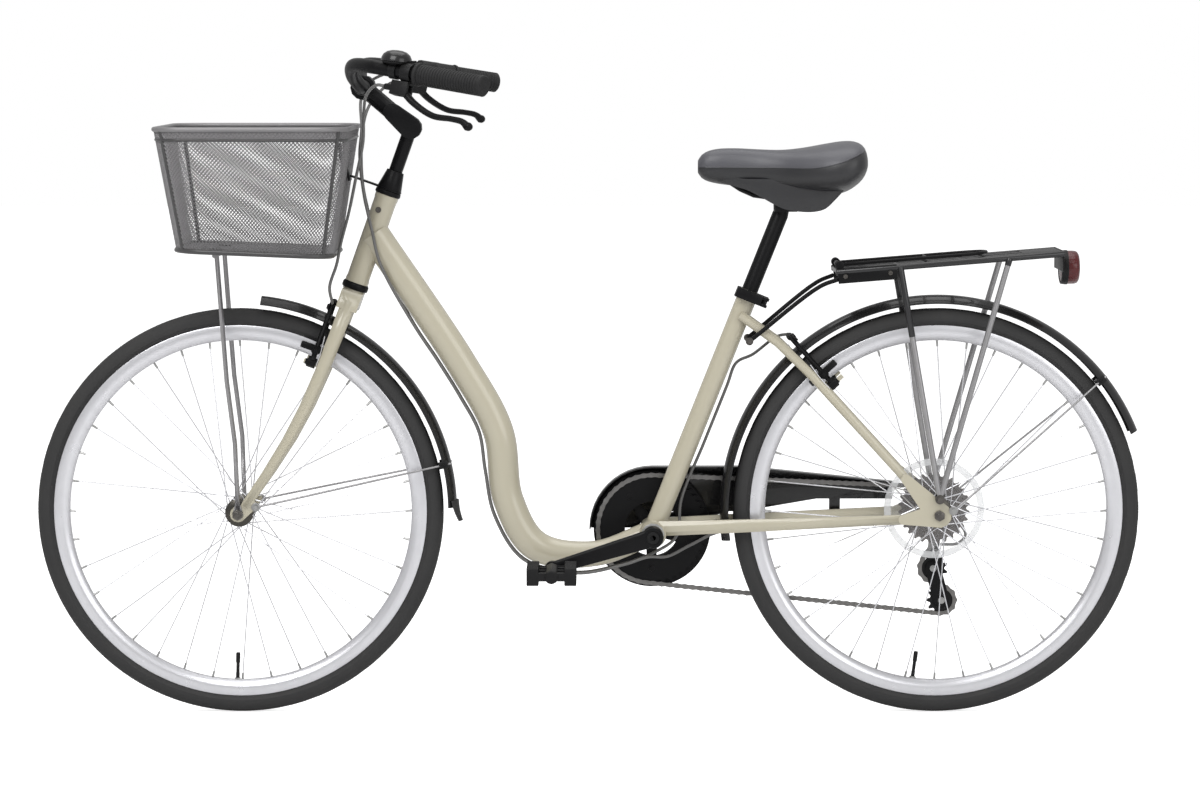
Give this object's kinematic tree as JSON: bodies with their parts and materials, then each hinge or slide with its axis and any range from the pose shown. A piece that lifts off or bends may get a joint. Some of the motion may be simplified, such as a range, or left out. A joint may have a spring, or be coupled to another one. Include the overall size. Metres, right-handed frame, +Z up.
{
  "type": "step-through bicycle",
  "caption": "City bicycle with a low curved main tube, two spoked wheels, mudguards, front basket, rear carrier, chain drive with derailleur, rim brakes and padded saddle.",
  "frame": {"origin": "centre of the bottom bracket, where the crank spindle's axis crosses the bike's middle plane", "axes": "+X towards the rear wheel, the bike faces -X; +Y towards the rider's right, the chain side; +Z up"},
  "size_m": [1.7862, 0.6638, 1.0637],
  "materials": {
    "cream_paint": "gloss cream paint",
    "rim_alloy": "satin polished",
    "hub_alloy": "satin",
    "zinc_steel": "zinc plated",
    "dark_steel": "oiled dark steel",
    "chain_steel": "oiled steel",
    "black_paint": "gloss black paint",
    "satin_black": "satin black paint",
    "black_plastic": "fine grain",
    "clear_plastic": "clear plastic disc",
    "tyre_rubber": "tread blocks, matt",
    "grip_rubber": "ribbed, matt",
    "basket_steel": "grey coated steel mesh",
    "leg_steel": "satin",
    "reflector_red": "prismatic lens",
    "saddle_skin": "grained vinyl cover",
    "cable_housing": "smooth plastic housing"
  },
  "bodies": {
    "frame": {"head_tube": "cream_paint", "main_tube": "cream_paint", "seat_tube": "cream_paint", "chain_stays": "cream_paint", "seat_stays": "cream_paint", "lower_headset_cup": "satin_black", "upper_headset_cup": "satin_black", "bottom_bracket_cartridge": "zinc_steel", "seat_collar": "satin_black", "chain_guard": "black_paint", "rear_mudguard": "black_paint", "rear_rack": "satin_black", "rear_reflector": "reflector_red", "rear_axle": "zinc_steel", "chain": "chain_steel", "derailleur_body": "satin_black", "rear_brake_cable": "cable_housing", "gear_cable": "cable_housing"},
    "steering": {"fork": "cream_paint", "headset_locknut": "satin_black", "front_mudguard": "black_paint", "front_axle": "zinc_steel", "basket": "basket_steel", "basket_legs": "leg_steel", "front_brake_cable": "cable_housing"},
    "stem": {"stem_quill": "satin_black"},
    "bars": {"stem_extension": "satin_black", "handlebar": "satin_black", "left_grip": "grip_rubber", "right_grip": "grip_rubber", "left_brake_bracket": "black_plastic", "right_brake_bracket": "black_plastic"},
    "left_lever": {"left_brake_lever": "satin_black"},
    "right_lever": {"right_brake_lever": "satin_black"},
    "shifter": {"twist_shifter": "black_plastic"},
    "front_wheel": {"front_tyre": "tyre_rubber", "front_rim": "rim_alloy", "front_hub": "hub_alloy"},
    "front_left_arm": {"front_left_brake_arm": "satin_black"},
    "front_right_arm": {"front_right_brake_arm": "satin_black"},
    "rear_left_arm": {"rear_left_brake_arm": "satin_black"},
    "rear_right_arm": {"rear_right_brake_arm": "satin_black"},
    "seat": {"seat_post": "satin_black"},
    "saddle": {"saddle_clamp": "satin_black", "saddle_rails": "satin_black", "saddle_cover": "saddle_skin"},
    "quick_lever": {"quick_release_lever": "satin_black"},
    "cranks": {"left_crank": "satin_black", "right_crank": "satin_black"},
    "left_pedal_body": {"left_pedal": "black_plastic"},
    "right_pedal_body": {"right_pedal": "black_plastic"},
    "sprockets": {"freewheel": "dark_steel"},
    "rear_wheel": {"rear_tyre": "tyre_rubber", "rear_rim": "rim_alloy", "rear_hub": "hub_alloy", "spoke_guard": "clear_plastic"},
    "cage": {"derailleur_cage": "satin_black"},
    "guide_wheel": {"guide_pulley": "black_plastic"},
    "tension_wheel": {"tension_pulley": "black_plastic"},
    "rack_clamp": {"rack_spring_clamp": "satin_black"}
  },
  "joints": [
    {"name": "steering", "type": "hinge", "parent": "frame", "child": "steering", "pos_m": [-0.61856, 0, 0.01768], "axis": [0.3354, 0, 0.9421], "range_deg": [-60, 60], "deforming": ["rear_brake_cable", "gear_cable"]},
    {"name": "front_wheel_spin", "type": "hinge", "parent": "steering", "child": "front_wheel", "pos_m": [-0.67, 0, 0.036], "axis": [0, 1, 0], "continuous": true},
    {"name": "stem_height", "type": "slide", "parent": "steering", "child": "stem", "axis": [0.3354, 0, 0.9421], "range_m": [-0.02, 0.03], "deforming": ["front_brake_cable", "rear_brake_cable", "gear_cable"]},
    {"name": "bar_angle", "type": "hinge", "parent": "stem", "child": "bars", "pos_m": [-0.39079, 0, 0.65734], "axis": [0, 1, 0], "range_deg": [-15, 35], "deforming": ["front_brake_cable", "rear_brake_cable", "gear_cable"]},
    {"name": "left_lever_pull", "type": "hinge", "parent": "bars", "child": "left_lever", "pos_m": [-0.38843, -0.24731, 0.71718], "axis": [-0.4885, -0.8422, 0.228], "range_deg": [0, 14], "stiffness_Nm_per_rad": 4, "springref_deg": -8.59},
    {"name": "right_lever_pull", "type": "hinge", "parent": "bars", "child": "right_lever", "pos_m": [-0.38843, 0.24731, 0.71718], "axis": [0.4885, -0.8422, -0.228], "range_deg": [0, 14], "stiffness_Nm_per_rad": 4, "springref_deg": -8.59},
    {"name": "shifter_turn", "type": "hinge", "parent": "bars", "child": "shifter", "pos_m": [-0.26183, 0.318, 0.72729], "axis": [0.8398, 0.5248, -0.1392], "range_deg": [0, 100]},
    {"name": "front_left_brake", "type": "hinge", "parent": "steering", "child": "front_left_arm", "pos_m": [-0.52799, -0.04, 0.27204], "axis": [-0.9421, 0, 0.3354], "range_deg": [0, 4]},
    {"name": "front_right_brake", "type": "hinge", "parent": "steering", "child": "front_right_arm", "pos_m": [-0.52799, 0.04, 0.27204], "axis": [0.9421, 0, -0.3354], "range_deg": [0, 4]},
    {"name": "rear_left_brake", "type": "hinge", "parent": "frame", "child": "rear_left_arm", "pos_m": [0.27824, -0.0425, 0.23475], "axis": [-0.7361, 0, -0.6769], "range_deg": [0, 4]},
    {"name": "rear_right_brake", "type": "hinge", "parent": "frame", "child": "rear_right_arm", "pos_m": [0.27824, 0.0425, 0.23475], "axis": [0.7361, 0, 0.6769], "range_deg": [0, 4]},
    {"name": "seat_height", "type": "slide", "parent": "frame", "child": "seat", "axis": [0.3698, 0, 0.9291], "range_m": [-0.08, 0.1]},
    {"name": "saddle_tilt", "type": "hinge", "parent": "seat", "child": "saddle", "pos_m": [0.21408, 0, 0.53797], "axis": [0, 1, 0], "range_deg": [-12, 12]},
    {"name": "quick_release", "type": "hinge", "parent": "frame", "child": "quick_lever", "pos_m": [0.17909, -0.024, 0.377], "axis": [0.3697, 0, 0.9291], "range_deg": [0, 120]},
    {"name": "crank_turn", "type": "hinge", "parent": "frame", "child": "cranks", "pos_m": [0, 0, 0], "axis": [0, 1, 0], "continuous": true},
    {"name": "left_pedal_spin", "type": "hinge", "parent": "cranks", "child": "left_pedal_body", "pos_m": [-0.16257, -0.125, -0.0497], "axis": [0, 1, 0], "continuous": true},
    {"name": "right_pedal_spin", "type": "hinge", "parent": "cranks", "child": "right_pedal_body", "pos_m": [0.16257, 0.125, 0.0497], "axis": [0, 1, 0], "continuous": true},
    {"name": "freewheel_turn", "type": "hinge", "parent": "frame", "child": "sprockets", "pos_m": [0.461, 0, 0.036], "axis": [0, 1, 0], "continuous": true},
    {"name": "rear_wheel_spin", "type": "hinge", "parent": "frame", "child": "rear_wheel", "pos_m": [0.461, 0, 0.036], "axis": [0, 1, 0], "continuous": true},
    {"name": "cage_swing", "type": "hinge", "parent": "frame", "child": "cage", "pos_m": [0.462, 0.0535, -0.066], "axis": [0, 1, 0], "range_deg": [-15, 25], "stiffness_Nm_per_rad": 0.6, "deforming": ["chain"]},
    {"name": "guide_pulley_turn", "type": "hinge", "parent": "cage", "child": "guide_wheel", "pos_m": [0.462, 0.0535, -0.066], "axis": [0, 1, 0], "continuous": true},
    {"name": "tension_pulley_turn", "type": "hinge", "parent": "cage", "child": "tension_wheel", "pos_m": [0.476, 0.0535, -0.119], "axis": [0, 1, 0], "continuous": true},
    {"name": "rack_clamp_lift", "type": "hinge", "parent": "frame", "child": "rack_clamp", "pos_m": [0.299, 0, 0.43824], "axis": [0, -1, 0], "range_deg": [0, 50], "stiffness_Nm_per_rad": 0.8, "springref_deg": -17.19}
  ],
  "couplings": [
    {"joint": "front_left_brake", "follows": "left_lever_pull", "ratio": 0.2857},
    {"joint": "front_right_brake", "follows": "left_lever_pull", "ratio": 0.2857},
    {"joint": "rear_left_brake", "follows": "right_lever_pull", "ratio": 0.2857},
    {"joint": "rear_right_brake", "follows": "right_lever_pull", "ratio": 0.2857},
    {"joint": "freewheel_turn", "follows": "crank_turn", "ratio": 2.75},
    {"joint": "guide_pulley_turn", "follows": "crank_turn", "ratio": -4},
    {"joint": "tension_pulley_turn", "follows": "crank_turn", "ratio": 4}
  ]
}
